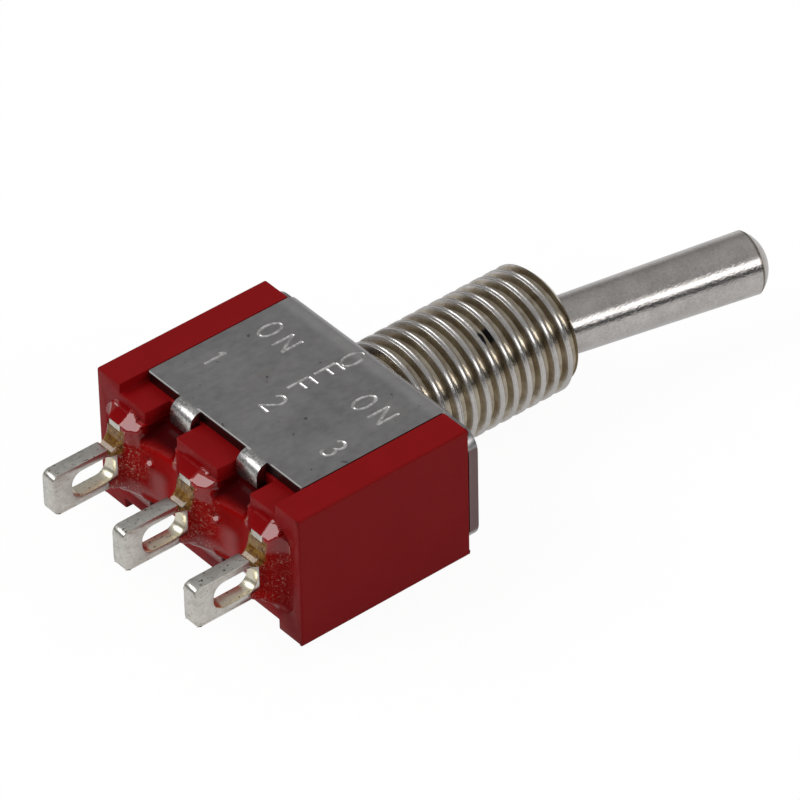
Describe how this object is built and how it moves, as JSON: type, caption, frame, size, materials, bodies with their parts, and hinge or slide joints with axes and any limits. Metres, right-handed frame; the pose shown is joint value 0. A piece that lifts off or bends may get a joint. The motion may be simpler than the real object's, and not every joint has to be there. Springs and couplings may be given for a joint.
{
  "type": "panel toggle switch",
  "caption": "Miniature panel toggle switch: moulded case in a folded steel frame, threaded bushing, tilting bat lever and solder lugs set in resin.",
  "frame": {"origin": "on the bushing's axis, in the steel face that seats against the panel", "axes": "+Y along the bushing towards the lever's tip, +X the way the lever is thrown at rest, +Z out of the stamped steel face; the part lies on the opposite face"},
  "size_m": [0.0132, 0.033, 0.0066],
  "materials": {
    "case_plastic": "semi-gloss moulded",
    "frame_steel": "satin plated",
    "nickel_plate": "nickel plated, satin",
    "nylon": "moulded",
    "spring_steel": "drawn wire",
    "spring_bronze": "rolled strip",
    "contact_silver": "silver faced",
    "lug_plate": "silver plated, dull",
    "resin": "cast, glossy"
  },
  "bodies": {
    "switch_body": {"case": "case_plastic", "frame_bracket": "frame_steel", "bushing": "nickel_plate", "rocker_cradle": "spring_bronze", "common_terminal": "lug_plate", "end_terminal_left": "lug_plate", "end_terminal_right": "lug_plate", "fixed_contact_left": "contact_silver", "fixed_contact_right": "contact_silver", "potting_seal": "resin"},
    "lever": {"lever": "nickel_plate", "plunger_spring": "spring_steel"},
    "plunger": {"plunger": "nylon"},
    "rocker": {"rocker": "spring_bronze", "moving_contact_left": "contact_silver", "moving_contact_right": "contact_silver"}
  },
  "joints": [
    {"name": "lever_tilt", "type": "hinge", "parent": "switch_body", "child": "lever", "pos_m": [0, 0.00602, 0], "axis": [0, 0, 1], "range_deg": [0, 24]},
    {"name": "rocker_tip", "type": "hinge", "parent": "switch_body", "child": "rocker", "pos_m": [0, -0.00331, 0], "axis": [0, 0, 1], "range_deg": [-9.6, 0]},
    {"name": "plunger_press", "type": "slide", "parent": "lever", "child": "plunger", "axis": [0.2079, 0.9781, 0], "range_m": [0, 0.0003], "stiffness_N_per_m": 1, "springref_m": -0.0002, "deforming": ["plunger_spring"]}
  ],
  "couplings": [
    {"joint": "rocker_tip", "follows": "lever_tilt", "ratio": -0.4}
  ]
}
